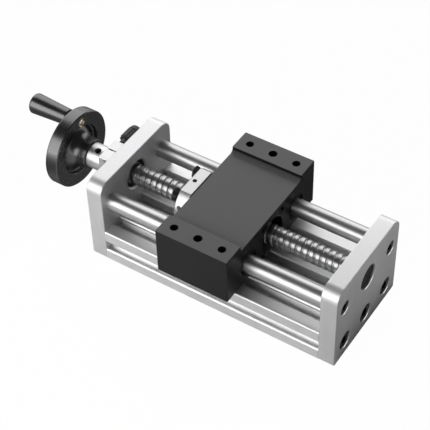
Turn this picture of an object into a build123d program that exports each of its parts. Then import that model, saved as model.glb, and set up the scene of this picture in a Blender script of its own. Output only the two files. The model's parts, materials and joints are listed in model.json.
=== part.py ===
from build123d import *
import math
import os

# Manual ball screw stage on a T-slot profile.
# X runs along the screw, away from the handwheel. Y runs across, Z up, all in millimetres.
# The origin is on the underside, midway between the outer faces of the two end plates.
os.makedirs("parts", exist_ok=True)

# Clearances
running_gap = 0.05        # radial, between a shaft or bush and its bore
seat_gap = 0.03           # radial, between pieces that are fitted and stay put
axial_gap = 0.3           # between faces that turn past each other
edge_break = 0.5          # small chamfer on machined edges

# Rods and linear bushings
rod_diameter = 14.0
rod_seat_depth = 3.0      # how far a rod end sits in its plate
rod_thread_depth = 15.0
bushing_wall = 3.5
bushing_length = 26.0
bushing_inset = 2.0       # from the carriage's end face
bushing_spacing = 4.0
bushing_ring_thickness = 1.0
bushing_ring_inset = 0.9
bushing_ring_grip = 0.6   # depth of the ring's groove in the bore
bushing_ring_width = 2.2
bushing_ring_opening = 8.0
bushing_seal_depth = 0.6
bushing_shell_wall = 0.8  # left around the seal's recess

# Ball screw
screw_diameter = 15.5
screw_pitch = 5.0
raceway_width = 3.7
raceway_depth = 1.3
drive_seat_diameter = 12.0
journal_diameter = 10.0
seat_setback = 0.2        # lets the sleeve clamp the bearing's inner ring
journal_reach = 1.5       # past the far bearing

# Ball nut
nut_body_diameter = 28.0
nut_length = 50.0
nut_bore_gap = 0.3
nut_bolt_wall = 5.0       # from the nut's body to its bolt circle
nut_flange_rim = 5.0      # outside the bolt circle
nut_flat_margin = 6.0     # from the nut's body to each flat
nut_flange_thickness = 10.0
nut_bolt_angles = (45.0, 135.0, 225.0, 315.0)
nut_oil_hole = 3.4
nut_oil_hole_inset = 4.0  # from the flange's face
nut_oil_hole_depth = 5.0
nut_side_hole_angle = 155.0
nut_wiper_wall = 3.0
nut_wiper_depth = 3.0

# T-slot profile
slot_count = 3
slot_mouth = 8.2
slot_bevel = 1.0
slot_lip = 2.2
slot_cavity = 15.5
slot_floor = 8.0
slot_depth = 8.5
core_thickness = 12.0     # between opposite slots
chamber_skin = 2.2
chamber_wall = 1.8
chamber_radius = 1.5
profile_edge_radius = 1.5

# Body
stroke = 100.0
rest_position = 39.2      # of the carriage, from the handwheel end of its stroke
end_margin = 4.8          # free space beyond each end of the stroke
rod_side_wall = 12.0      # from a rod's axis line to the side, outside the rod
rod_nut_space = 2.0
nut_base_space = 3.6
plate_above_axis = 22.0
plate_corner_radius = 10.0
plate_foot_radius = 2.0

# Carriage block
carriage_overhang = 15.0
carriage_sole = 2.0       # under the nut's bore
carriage_roof = 5.4       # over the nut's bore
ledge_height = 4.8
ledge_width = 18.5
ledge_foot_radius = 3.0
ledge_hole_inset = 9.5
ledge_hole_pitch = 20.0
table_thread = 6.0
table_clearance_hole = 6.6

# Screws, by thread diameter
profile_screw_thread = 8.0
profile_screw_length = 25.0
profile_screw_pocket = 14.0
rod_screw_thread = 6.0
rod_screw_length = 16.0
rod_screw_pocket = 11.0
nut_screw_thread = 5.0
nut_screw_length = 25.0
retainer_screw_thread = 3.0
retainer_screw_length = 8.0
block_screw_thread = 4.0
block_screw_length = 20.0
block_screw_pocket = 7.5
wheel_screw_thread = 6.0
wheel_screw_length = 14.0
head_sink = 0.5           # of a screw's head below the face

# Bearings
drive_bearing_outer_diameter = 28.0
drive_bearing_width = 8.0
far_bearing_outer_diameter = 22.0
far_bearing_width = 6.0
bearing_shoulder = 3.2
ring_share = 0.29         # of the space between shaft and housing, for each bearing ring
drive_window_diameter = 23.0
drive_window_chamfer = 1.3
retainer_diameter = 40.0
retainer_thickness = 2.0
retainer_hole = 19.0
retainer_screw_circle_diameter = 34.0
cap_diameter = 20.0
cap_thickness = 2.0
cap_recess = 1.5
cap_shoulder_hole = 16.0

# Clamp block
block_width = 22.0
block_length = 13.7
block_above_axis = 13.5
block_below_axis = 27.5
block_slit = 1.3
block_slit_length = 8.2
block_screw_spread = 12.0
block_screw_drop = 23.0
stud_diameter = 4.0
stud_above_axis = 10.8
stud_from_plate = 7.5
stud_tip_inset = 3.0
stud_in_knob = 14.0

# Sleeve
sleeve_neck_diameter = 15.0
sleeve_collar_diameter = 20.0
sleeve_collar_length = 14.0
sleeve_spigot_diameter = 14.0
sleeve_spigot_length = 10.0
sleeve_screw_diameter = 5.0
sleeve_screw_from_end = 7.5
sleeve_screw_sink = 1.2   # below the collar
sleeve_screw_angle = 106.0

# Handwheel, with its section measured from the front of the hub
wheel_diameter = 63.0
rim_thickness = 11.0
rim_width = 11.0
rim_setback = 11.0
rim_edge_radius = 1.4
hub_radius = 12.0
hub_lip = 0.7
hub_lip_start = 4.0
hub_lip_width = 1.2
web_front = 14.6
web_thickness = 4.0
web_curve_shift = 1.0     # of the dish's arch from its middle
web_curve_rise = 1.9
web_slope = 1.6           # of the rim's inside, where it meets the web
web_slope_depth = 0.6
web_back_slope = 2.0
hub_length = 18.5
washer_space_depth = 3.5
washer_diameter = 18.0
washer_thickness = 1.6

# Crank grip
grip_circle_radius = 24.4
grip_angle = 81.5         # around the screw, up from +Y
insert_diameter = 7.5
spindle_thread = 5.0
spindle_diameter = 6.0
spindle_collar_diameter = 9.0
spindle_collar_thickness = 0.8
spindle_head_diameter = 8.6
spindle_head_thickness = 1.6
grip_length = 33.4
grip_small_diameter = 13.2
grip_middle_diameter = 14.8
grip_large_diameter = 16.6
grip_end_radius = 2.4
grip_end_recess = 4.0

# Lock knob
knob_diameter = 12.0
knob_neck_diameter = 7.0
knob_neck_length = 5.0
knob_body_length = 9.1
knob_groove_width = 0.8
knob_groove_depth = 0.6
knob_cap_length = 4.7
knob_cap_end_diameter = 10.4
knob_cap_end_radius = 1.5
knob_flute_count = 9
knob_flute_radius = 1.2

# Sizes that follow from these
bushing_diameter = rod_diameter + 2 * bushing_wall
nut_bore_diameter = screw_diameter + 2 * nut_bore_gap
nut_bolt_circle = nut_body_diameter + 2 * nut_bolt_wall
nut_flange_diameter = nut_bolt_circle + 2 * nut_flange_rim
nut_flange_height = nut_body_diameter + 2 * nut_flat_margin
rod_offset = nut_flange_diameter / 2 + rod_nut_space + rod_diameter / 2
body_width = 2 * (rod_offset + rod_side_wall)
slot_pitch = body_width / slot_count
base_height = 2 * slot_depth + core_thickness
axis_height = base_height + nut_base_space + nut_flange_height / 2
plate_height = axis_height + plate_above_axis
plate_thickness = bearing_shoulder + drive_bearing_width + retainer_thickness
carriage_length = 2 * (bushing_inset + bushing_length) + bushing_spacing
carriage_width = body_width + 2 * carriage_overhang
carriage_bore_diameter = nut_body_diameter + 2 * running_gap
moving_length = nut_screw_thread + nut_flange_thickness + carriage_length
inner_length = moving_length + stroke + 2 * end_margin
body_length = inner_length + 2 * plate_thickness

# Places along the screw
far_outer_x = body_length / 2
far_inner_x = far_outer_x - plate_thickness
drive_outer_x = -far_outer_x
drive_inner_x = -far_inner_x
nut_flange_x = drive_inner_x + end_margin + nut_screw_thread + rest_position
carriage_start_x = nut_flange_x + nut_flange_thickness
carriage_middle_x = carriage_start_x + carriage_length / 2
carriage_end_x = carriage_start_x + carriage_length
drive_bearing_x = drive_inner_x - bearing_shoulder
sleeve_start_x = drive_bearing_x - drive_bearing_width
collar_start_x = drive_outer_x - block_length - axial_gap
hub_front_x = collar_start_x - sleeve_collar_length
rim_front_x = hub_front_x - rim_setback
rim_back_x = rim_front_x - rim_thickness
washer_x = hub_front_x - hub_length + washer_space_depth
journal_end_x = washer_x + axial_gap
stud_x = drive_outer_x - stud_from_plate
stud_z = axis_height + stud_above_axis
grip_y = grip_circle_radius * math.cos(math.radians(grip_angle))
grip_z = axis_height + grip_circle_radius * math.sin(math.radians(grip_angle))
rod_places = [(-rod_offset, axis_height), (rod_offset, axis_height)]


# Plane across the screw at x that looks outward, +1 or -1, with its Y axis up
def cross_plane(x, outward=1):
    return Plane(origin=(x, 0, 0), x_dir=(0, outward, 0), z_dir=(outward, 0, 0))


# Plane across the screw with its origin on the screw's axis
def axis_plane(x, outward=1):
    return Plane(origin=(x, 0, axis_height), x_dir=(0, outward, 0), z_dir=(outward, 0, 0))


def save(builder, name):
    builder.part.label = name
    export_step(builder.part, f"parts/{name}.step")


# Socket head cap screw, with its head on +Z and its shank on -Z of the origin
def cap_screw(thread, length):
    head_radius = (1.5 * thread + 1) / 2
    with BuildPart() as screw:
        with BuildSketch():
            Circle(head_radius)
        extrude(amount=thread)
        chamfer(screw.edges().sort_by(Axis.Z)[-1], 0.08 * thread)
        with BuildSketch(Plane.XY.offset(thread)):
            RegularPolygon(radius=0.42 * thread, side_count=6, major_radius=False)
        extrude(amount=-0.55 * thread, mode=Mode.SUBTRACT)
        with BuildSketch():
            Circle(thread / 2)
        extrude(amount=-length)
        chamfer(screw.edges().sort_by(Axis.Z)[0], 0.1 * thread)
    return screw.part


# Countersunk screw, with its flat face at the origin and its shank on -Z
def countersunk_screw(thread, length):
    head_depth = 0.5 * thread
    with BuildPart() as screw:
        with BuildSketch(Plane.XZ):
            with BuildLine():
                Polyline(
                    (0, 0),
                    (0.9 * thread, 0),
                    (0.9 * thread, -0.1 * thread),
                    (thread / 2, -head_depth),
                    (thread / 2, -length),
                    (0, -length),
                    close=True,
                )
            make_face()
        revolve(axis=Axis.Z)
        with BuildSketch():
            RegularPolygon(radius=0.33 * thread, side_count=6, major_radius=False)
        extrude(amount=-0.4 * thread, mode=Mode.SUBTRACT)
    return screw.part


# The same screw at several places on one plane
def screw_group(screw, plane, places):
    with BuildPart() as group:
        with Locations(plane):
            with Locations(*places):
                add(screw)
    return group


# Plain ring around the screw's axis
def save_ring(name, start_x, length, outer_radius, inner_radius):
    with BuildPart() as piece:
        with BuildSketch(axis_plane(start_x)):
            Circle(outer_radius)
            Circle(inner_radius, mode=Mode.SUBTRACT)
        extrude(amount=length)
    save(piece, name)


# T-slot profile: a notch that opens upwards at the origin, cut on every side
slot_taper = (slot_cavity - slot_floor) / 2
with BuildSketch() as slot_notch:
    with BuildLine():
        slot_side = Polyline(
            (0, 0),
            (slot_mouth / 2 + slot_bevel, 0),
            (slot_mouth / 2, -slot_bevel),
            (slot_mouth / 2, -slot_lip),
            (slot_cavity / 2, -slot_lip),
            (slot_cavity / 2, slot_taper - slot_depth),
            (slot_floor / 2, -slot_depth),
            (0, -slot_depth),
        )
        mirror(slot_side, about=Plane.YZ)
    make_face()

core_hole_diameter = profile_screw_thread + 2 * running_gap
chamber_width = slot_pitch - slot_cavity - 2 * chamber_wall
chamber_height = base_height - 2 * chamber_skin

with BuildPart() as base_profile:
    with BuildSketch(Plane(origin=(drive_inner_x, 0, base_height / 2), x_dir=(0, 1, 0), z_dir=(1, 0, 0))):
        RectangleRounded(body_width, base_height, profile_edge_radius)
        with Locations((0, base_height / 2)):
            with GridLocations(slot_pitch, 1, slot_count, 1):
                add(slot_notch.sketch, mode=Mode.SUBTRACT)
        with Locations((0, -base_height / 2)):
            with GridLocations(slot_pitch, 1, slot_count, 1):
                add(slot_notch.sketch, rotation=180, mode=Mode.SUBTRACT)
        with Locations((body_width / 2, 0)):
            add(slot_notch.sketch, rotation=-90, mode=Mode.SUBTRACT)
        with Locations((-body_width / 2, 0)):
            add(slot_notch.sketch, rotation=90, mode=Mode.SUBTRACT)
        with GridLocations(slot_pitch, 1, slot_count, 1):
            Circle(core_hole_diameter / 2, mode=Mode.SUBTRACT)
        with GridLocations(slot_pitch, 1, slot_count - 1, 1):
            RectangleRounded(chamber_width, chamber_height, chamber_radius, mode=Mode.SUBTRACT)
    extrude(amount=inner_length)
save(base_profile, "base_profile")


# End plates: one blank, with the same screw pockets seen from its outer face
profile_head_depth = profile_screw_thread + head_sink
rod_head_depth = rod_screw_thread + head_sink
first_slot_y = -(slot_count - 1) / 2 * slot_pitch
profile_screw_places = [(first_slot_y + slot_pitch * index, base_height / 2) for index in range(slot_count)]


def plate_blank(outer_x, outward):
    with BuildPart() as plate:
        with BuildSketch(cross_plane(outer_x, outward)) as outline:
            with Locations((0, plate_height / 2)):
                Rectangle(body_width, plate_height)
            fillet(outline.vertices().group_by(Axis.Y)[-1], plate_corner_radius)
            fillet(outline.vertices().group_by(Axis.Y)[0], plate_foot_radius)
        extrude(amount=-plate_thickness)
        chamfer(plate.faces().filter_by(Axis.X).edges(), edge_break)
        with Locations(cross_plane(outer_x, outward)):
            with Locations(*profile_screw_places):
                CounterBoreHole(
                    radius=profile_screw_thread * 0.55,
                    counter_bore_radius=profile_screw_pocket / 2,
                    counter_bore_depth=profile_head_depth,
                    depth=plate_thickness,
                )
            with Locations(*rod_places):
                CounterBoreHole(
                    radius=rod_screw_thread * 0.55,
                    counter_bore_radius=rod_screw_pocket / 2,
                    counter_bore_depth=rod_head_depth,
                    depth=plate_thickness,
                )
        with Locations(cross_plane(outer_x - outward * plate_thickness, -outward)):
            with Locations(*rod_places):
                Hole(rod_diameter / 2 + running_gap, depth=rod_seat_depth)
    return plate.part


retainer_radius = retainer_diameter / 2
block_screw_places = [(side * block_screw_spread / 2, -block_screw_drop) for side in (-1, 1)]
drive_blank = plate_blank(drive_outer_x, -1)
with BuildPart() as drive_end_plate:
    add(drive_blank)
    with Locations(axis_plane(drive_outer_x, -1)):
        Hole(retainer_radius + seat_gap, depth=retainer_thickness)
        Hole(drive_bearing_outer_diameter / 2 + seat_gap, depth=retainer_thickness + drive_bearing_width)
        Hole(drive_window_diameter / 2)
        with PolarLocations(retainer_screw_circle_diameter / 2, 4, start_angle=45):
            Hole(retainer_screw_thread / 2 + running_gap, depth=retainer_screw_length + edge_break)
        with Locations(*block_screw_places):
            Hole(block_screw_thread / 2 + running_gap, depth=plate_thickness - edge_break)
    window_edge = drive_end_plate.edges().filter_by(GeomType.CIRCLE).filter_by(
        lambda edge: abs(edge.radius - drive_window_diameter / 2) < 0.01
    )
    chamfer(window_edge.sort_by(Axis.X)[-1], drive_window_chamfer)
save(drive_end_plate, "drive_end_plate")

far_blank = plate_blank(far_outer_x, 1)
with BuildPart() as far_end_plate:
    add(far_blank)
    with Locations(axis_plane(far_outer_x, 1)):
        Hole(cap_diameter / 2, depth=cap_recess + cap_thickness)
        Hole(cap_shoulder_hole / 2)
    with Locations(axis_plane(far_inner_x, -1)):
        Hole(far_bearing_outer_diameter / 2 + seat_gap, depth=far_bearing_width)
save(far_end_plate, "far_end_plate")

with BuildPart() as dust_cap:
    with BuildSketch(axis_plane(far_outer_x - cap_recess)):
        Circle(cap_diameter / 2 - seat_gap)
    extrude(amount=-cap_thickness)
    chamfer(dust_cap.edges().sort_by(Axis.X)[-1], edge_break)
save(dust_cap, "dust_cap")

# Screws of the end plates
profile_screw = cap_screw(profile_screw_thread, profile_screw_length)
rod_screw = cap_screw(rod_screw_thread, rod_screw_length)
for side, outer_x, outward in (("drive", drive_outer_x, -1), ("far", far_outer_x, 1)):
    profile_head_plane = cross_plane(outer_x - outward * profile_head_depth, outward)
    save(screw_group(profile_screw, profile_head_plane, profile_screw_places), f"{side}_profile_screws")
    rod_head_plane = cross_plane(outer_x - outward * rod_head_depth, outward)
    save(screw_group(rod_screw, rod_head_plane, rod_places), f"{side}_rod_screws")

# Guide rods
rod_length = inner_length + 2 * rod_seat_depth
for side, rod_y in (("front", -rod_offset), ("rear", rod_offset)):
    rod_end_plane = Plane(origin=(rod_length / 2, rod_y, axis_height), x_dir=(0, 1, 0), z_dir=(1, 0, 0))
    with BuildPart() as guide_rod:
        with BuildSketch(rod_end_plane):
            Circle(rod_diameter / 2)
        extrude(amount=-rod_length)
        chamfer(guide_rod.edges().filter_by(GeomType.CIRCLE), edge_break)
        with Locations(rod_end_plane, Plane(origin=(-rod_length / 2, rod_y, axis_height), z_dir=(-1, 0, 0))):
            Hole(rod_screw_thread / 2 + running_gap, depth=rod_thread_depth)
    save(guide_rod, f"{side}_guide_rod")

# Ball screw: a turned blank with a helical ball raceway, cut one turn at a time
thread_start_x = drive_bearing_x
thread_end_x = far_inner_x - axial_gap
far_journal_end_x = far_inner_x + far_bearing_width + journal_reach
raceway_turns = math.ceil((thread_end_x - thread_start_x) / screw_pitch) + 1
raceway_start_x = thread_start_x - screw_pitch
raceway_places = [(raceway_start_x + screw_pitch * turn, 0, axis_height) for turn in range(raceway_turns + 1)]

with BuildPart() as raceway_turn:
    with BuildLine() as raceway_path:
        Helix(pitch=screw_pitch, height=screw_pitch, radius=screw_diameter / 2, direction=(1, 0, 0))
    raceway_plane = Plane(origin=raceway_path.line @ 0, x_dir=(1, 0, 0), z_dir=raceway_path.line % 0)
    with BuildSketch(raceway_plane):
        with BuildLine():
            Polyline(
                (-raceway_width / 2, raceway_depth / 5),
                (raceway_width / 2, raceway_depth / 5),
                (0, -raceway_depth),
                close=True,
            )
        make_face()
    sweep(path=raceway_path.line, is_frenet=True)

with BuildPart() as ball_screw:
    with BuildSketch(axis_plane(thread_start_x)):
        Circle(screw_diameter / 2)
    extrude(amount=thread_end_x - thread_start_x)
    with Locations(*raceway_places):
        add(raceway_turn.part, mode=Mode.SUBTRACT)
    with BuildSketch(axis_plane(thread_start_x)):
        Circle(drive_seat_diameter / 2)
    extrude(amount=sleeve_start_x + seat_setback - thread_start_x)
    with BuildSketch(axis_plane(thread_start_x)):
        Circle(journal_diameter / 2)
    extrude(amount=journal_end_x - thread_start_x)
    with BuildSketch(axis_plane(thread_end_x)):
        Circle(journal_diameter / 2)
    extrude(amount=far_journal_end_x - thread_end_x)
    chamfer(ball_screw.edges().filter_by(GeomType.CIRCLE).sort_by(Axis.X)[-1], edge_break)
    chamfer(ball_screw.edges().filter_by(GeomType.CIRCLE).sort_by(Axis.X)[0], edge_break)
    with Locations(axis_plane(journal_end_x, -1)):
        Hole(wheel_screw_thread / 2 + running_gap, depth=wheel_screw_length)
save(ball_screw, "ball_screw")


# Bearings: two rings and the ball set between them
def save_bearing(name, start_x, width, shaft_diameter, outer_diameter):
    space = (outer_diameter - shaft_diameter) / 2
    inner_race = shaft_diameter / 2 + ring_share * space
    outer_race = outer_diameter / 2 - ring_share * space
    save_ring(f"{name}_inner", start_x, width, inner_race, shaft_diameter / 2 + running_gap)
    save_ring(f"{name}_outer", start_x, width, outer_diameter / 2, outer_race)
    balls_width = width - 2 * edge_break
    save_ring(
        f"{name}_balls", start_x + edge_break, balls_width, outer_race - running_gap, inner_race + running_gap
    )


save_bearing(
    "drive_bearing", sleeve_start_x, drive_bearing_width, drive_seat_diameter, drive_bearing_outer_diameter
)
save_bearing("far_bearing", far_inner_x, far_bearing_width, journal_diameter, far_bearing_outer_diameter)

# Plate that keeps the fixed bearing in its pocket, flush with the drive plate
with BuildPart() as bearing_retainer:
    with BuildSketch(axis_plane(drive_outer_x, -1)):
        Circle(retainer_radius)
        Circle(retainer_hole / 2, mode=Mode.SUBTRACT)
    extrude(amount=-retainer_thickness)
    with Locations(axis_plane(drive_outer_x, -1)):
        with PolarLocations(retainer_screw_circle_diameter / 2, 4, start_angle=45):
            CounterSinkHole(
                radius=retainer_screw_thread * 0.55,
                counter_sink_radius=retainer_screw_thread * 1.05,
                depth=retainer_thickness,
                counter_sink_angle=90,
            )
save(bearing_retainer, "bearing_retainer")

retainer_screw = countersunk_screw(retainer_screw_thread, retainer_screw_length)
with BuildPart() as retainer_screws:
    with Locations(axis_plane(drive_outer_x + running_gap, -1)):
        with PolarLocations(retainer_screw_circle_diameter / 2, 4, start_angle=45):
            add(retainer_screw)
save(retainer_screws, "retainer_screws")

# Split clamp around the sleeve
block_face_x = drive_outer_x - block_length
with BuildPart() as lock_block:
    with BuildSketch(axis_plane(drive_outer_x)):
        with Locations((0, (block_above_axis - block_below_axis) / 2)):
            Rectangle(block_width, block_above_axis + block_below_axis)
    extrude(amount=-block_length)
    chamfer(lock_block.edges().filter_by(Axis.X), edge_break)
    with Locations(axis_plane(block_face_x, -1)):
        Hole(sleeve_neck_diameter / 2 + running_gap)
        with Locations(*block_screw_places):
            CounterBoreHole(
                radius=block_screw_thread * 0.55,
                counter_bore_radius=block_screw_pocket / 2,
                counter_bore_depth=block_screw_thread + head_sink,
                depth=block_length,
            )
    with BuildSketch(axis_plane(block_face_x)):
        with Locations((0, block_above_axis / 2)):
            Rectangle(block_slit, block_above_axis)
    extrude(amount=block_slit_length, mode=Mode.SUBTRACT)
    with BuildSketch(Plane(origin=(stud_x, 0, stud_z), x_dir=(1, 0, 0), z_dir=(0, 1, 0))):
        Circle(stud_diameter / 2 + running_gap)
    extrude(amount=block_width, both=True, mode=Mode.SUBTRACT)
save(lock_block, "lock_block")

block_screw = cap_screw(block_screw_thread, block_screw_length)
block_head_plane = axis_plane(block_face_x + block_screw_thread + head_sink, -1)
save(screw_group(block_screw, block_head_plane, block_screw_places), "lock_block_screws")

# Lock knob and its stud, both on an axis across the clamp
knob_start_y = block_width / 2 + axial_gap
knob_body_y = knob_start_y + knob_neck_length
knob_groove_y = knob_body_y + knob_body_length
knob_cap_y = knob_groove_y + knob_groove_width


def stud_plane(y):
    return Plane(origin=(stud_x, y, stud_z), x_dir=(1, 0, 0), z_dir=(0, 1, 0))


with BuildPart() as lock_stud:
    with BuildSketch(stud_plane(stud_tip_inset - block_width / 2)):
        Circle(stud_diameter / 2)
    extrude(amount=knob_start_y + stud_in_knob + block_width / 2 - stud_tip_inset)
    chamfer(lock_stud.edges().filter_by(GeomType.CIRCLE), 0.1 * stud_diameter)
save(lock_stud, "lock_stud")

with BuildPart() as lock_knob:
    with BuildSketch(stud_plane(knob_start_y)):
        Circle(knob_neck_diameter / 2)
    extrude(amount=knob_neck_length)
    with BuildSketch(stud_plane(knob_body_y)):
        Circle(knob_diameter / 2)
        with PolarLocations(knob_diameter / 2 + 0.45 * knob_flute_radius, knob_flute_count):
            Circle(knob_flute_radius, mode=Mode.SUBTRACT)
    extrude(amount=knob_body_length)
    with BuildSketch(stud_plane(knob_groove_y)):
        Circle(knob_diameter / 2 - knob_groove_depth)
    extrude(amount=knob_groove_width)
    with BuildSketch(stud_plane(knob_cap_y)):
        Circle(knob_diameter / 2)
    with BuildSketch(stud_plane(knob_cap_y + knob_cap_length)):
        Circle(knob_cap_end_diameter / 2)
    loft()
    fillet(lock_knob.edges().filter_by(GeomType.CIRCLE).sort_by(Axis.Y)[-1], knob_cap_end_radius)
    with Locations(Plane(origin=(stud_x, knob_start_y, stud_z), x_dir=(-1, 0, 0), z_dir=(0, -1, 0))):
        Hole(stud_diameter / 2 + seat_gap, depth=stud_in_knob)
save(lock_knob, "lock_knob")

# Sleeve: neck in the clamp, collar with its set screw, spigot in the wheel's hub
collar_radius = sleeve_collar_diameter / 2
sleeve_screw_x = hub_front_x + sleeve_screw_from_end
sleeve_screw_direction = (
    0,
    math.cos(math.radians(sleeve_screw_angle)),
    math.sin(math.radians(sleeve_screw_angle)),
)
sleeve_screw_plane = Plane(
    origin=(sleeve_screw_x, 0, axis_height), x_dir=(1, 0, 0), z_dir=sleeve_screw_direction
)
with BuildPart() as shaft_sleeve:
    with BuildSketch(axis_plane(sleeve_start_x, -1)):
        Circle(sleeve_neck_diameter / 2)
    extrude(amount=sleeve_start_x - collar_start_x)
    with BuildSketch(axis_plane(collar_start_x, -1)):
        Circle(collar_radius)
    extrude(amount=sleeve_collar_length)
    chamfer(shaft_sleeve.edges().filter_by(GeomType.CIRCLE).group_by(SortBy.RADIUS)[-1], edge_break)
    with BuildSketch(axis_plane(hub_front_x, -1)):
        Circle(sleeve_spigot_diameter / 2)
    extrude(amount=sleeve_spigot_length)
    with Locations(axis_plane(sleeve_start_x, 1)):
        Hole(journal_diameter / 2 + running_gap)
    with BuildSketch(sleeve_screw_plane):
        Circle(sleeve_screw_diameter / 2 + running_gap)
    extrude(amount=collar_radius, mode=Mode.SUBTRACT)
save(shaft_sleeve, "shaft_sleeve")

set_screw_start = journal_diameter / 2 + running_gap
set_screw_end = collar_radius - sleeve_screw_sink
with BuildPart() as sleeve_set_screw:
    with BuildSketch(sleeve_screw_plane.offset(set_screw_start)):
        Circle(sleeve_screw_diameter / 2)
    extrude(amount=set_screw_end - set_screw_start)
    with BuildSketch(sleeve_screw_plane.offset(set_screw_end)):
        RegularPolygon(radius=0.25 * sleeve_screw_diameter, side_count=6, major_radius=False)
    extrude(amount=-0.6 * (set_screw_end - set_screw_start), mode=Mode.SUBTRACT)
save(sleeve_set_screw, "sleeve_set_screw")

# Handwheel: a section turned about the screw, in distances behind the hub's front face and radii
wheel_radius = wheel_diameter / 2
rim_inner_radius = wheel_radius - rim_width
rim_back = rim_setback + rim_thickness
web_back = web_front + web_thickness
washer_seat = hub_length - washer_space_depth
lip_end = hub_lip_start + hub_lip_width


def section_point(behind, radius):
    return (hub_front_x - behind, axis_height + radius)


with BuildPart() as handwheel:
    with BuildSketch(Plane.XZ) as wheel_section:
        with BuildLine():
            Polyline(
                section_point(washer_seat, journal_diameter / 2 + running_gap),
                section_point(sleeve_spigot_length, journal_diameter / 2 + running_gap),
                section_point(sleeve_spigot_length, sleeve_spigot_diameter / 2 + seat_gap),
                section_point(0, sleeve_spigot_diameter / 2 + seat_gap),
                section_point(0, hub_radius - edge_break),
                section_point(edge_break, hub_radius),
                section_point(hub_lip_start, hub_radius),
                section_point(hub_lip_start, hub_radius + hub_lip),
                section_point(lip_end, hub_radius + hub_lip),
            )
            ThreePointArc(
                section_point(lip_end, hub_radius + hub_lip),
                section_point((lip_end + web_front) / 2 + web_curve_shift, hub_radius + hub_lip + web_curve_rise),
                section_point(web_front, rim_inner_radius - web_slope),
            )
            Polyline(
                section_point(web_front, rim_inner_radius - web_slope),
                section_point(web_front - web_slope_depth, rim_inner_radius - edge_break),
                section_point(rim_setback + edge_break, rim_inner_radius),
                section_point(rim_setback, rim_inner_radius + edge_break),
                section_point(rim_setback, wheel_radius - rim_edge_radius / 2),
                section_point(rim_setback + rim_edge_radius / 2, wheel_radius),
                section_point(rim_back - rim_edge_radius, wheel_radius),
            )
            RadiusArc(
                section_point(rim_back - rim_edge_radius, wheel_radius),
                section_point(rim_back, wheel_radius - rim_edge_radius),
                -rim_edge_radius,
            )
            Polyline(
                section_point(rim_back, wheel_radius - rim_edge_radius),
                section_point(rim_back, rim_inner_radius + edge_break),
                section_point(web_back, rim_inner_radius - web_back_slope),
                section_point(web_back, hub_radius),
                section_point(hub_length, hub_radius - edge_break),
                section_point(hub_length, washer_diameter / 2 + axial_gap),
                section_point(washer_seat, washer_diameter / 2 + axial_gap),
                section_point(washer_seat, journal_diameter / 2 + running_gap),
            )
        make_face()
    revolve(axis=Axis((0, 0, axis_height), (1, 0, 0)))
    with Locations(Plane(origin=(rim_front_x, grip_y, grip_z), x_dir=(0, 1, 0), z_dir=(1, 0, 0))):
        Hole(insert_diameter / 2 + seat_gap)
save(handwheel, "handwheel")

washer_back_x = washer_x - washer_thickness
save_ring("wheel_washer", washer_back_x, washer_thickness, washer_diameter / 2, wheel_screw_thread * 0.55)
end_screw = cap_screw(wheel_screw_thread, wheel_screw_length)
save(screw_group(end_screw, axis_plane(washer_back_x, -1), [(0, 0)]), "wheel_screw")


# Plane on the grip's axis, looking away from the wheel
def grip_plane(x):
    return Plane(origin=(x, grip_y, grip_z), x_dir=(0, -1, 0), z_dir=(-1, 0, 0))


with BuildPart() as handle_insert:
    with BuildSketch(grip_plane(rim_front_x)):
        Circle(insert_diameter / 2)
        Circle(spindle_thread / 2 + seat_gap, mode=Mode.SUBTRACT)
    extrude(amount=rim_thickness)
save(handle_insert, "handle_insert")

grip_start_x = rim_back_x - spindle_collar_thickness - axial_gap
grip_end_x = grip_start_x - grip_length
grip_recess_x = grip_end_x + grip_end_recess
with BuildPart() as handle_spindle:
    with BuildSketch(grip_plane(rim_front_x - edge_break)):
        Circle(spindle_thread / 2)
    extrude(amount=rim_thickness - edge_break)
    with BuildSketch(grip_plane(rim_back_x)):
        Circle(spindle_collar_diameter / 2)
    extrude(amount=spindle_collar_thickness)
    with BuildSketch(grip_plane(rim_back_x - spindle_collar_thickness)):
        Circle(spindle_diameter / 2)
    extrude(amount=rim_back_x - spindle_collar_thickness - grip_recess_x + axial_gap)
    with BuildSketch(grip_plane(grip_recess_x - axial_gap)):
        Circle(spindle_head_diameter / 2)
    extrude(amount=spindle_head_thickness)
save(handle_spindle, "handle_spindle")

# Revolving grip, slimmer towards the wheel
with BuildPart() as handle_grip:
    with BuildSketch(Plane(origin=(grip_start_x, grip_y, grip_z), x_dir=(-1, 0, 0), z_dir=(0, 1, 0))):
        with BuildLine():
            Line((0, spindle_diameter / 2 + running_gap), (0, grip_small_diameter / 2 - edge_break))
            Line((0, grip_small_diameter / 2 - edge_break), (edge_break, grip_small_diameter / 2))
            ThreePointArc(
                (edge_break, grip_small_diameter / 2),
                (grip_length / 2, grip_middle_diameter / 2),
                (grip_length - grip_end_radius, grip_large_diameter / 2),
            )
            RadiusArc(
                (grip_length - grip_end_radius, grip_large_diameter / 2),
                (grip_length, grip_large_diameter / 2 - grip_end_radius),
                grip_end_radius,
            )
            Polyline(
                (grip_length, grip_large_diameter / 2 - grip_end_radius),
                (grip_length, spindle_head_diameter / 2 + axial_gap),
                (grip_length - grip_end_recess, spindle_head_diameter / 2 + axial_gap),
                (grip_length - grip_end_recess, spindle_diameter / 2 + running_gap),
                (0, spindle_diameter / 2 + running_gap),
            )
        make_face()
    revolve(axis=Axis((0, grip_y, grip_z), (1, 0, 0)))
save(handle_grip, "handle_grip")

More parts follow.
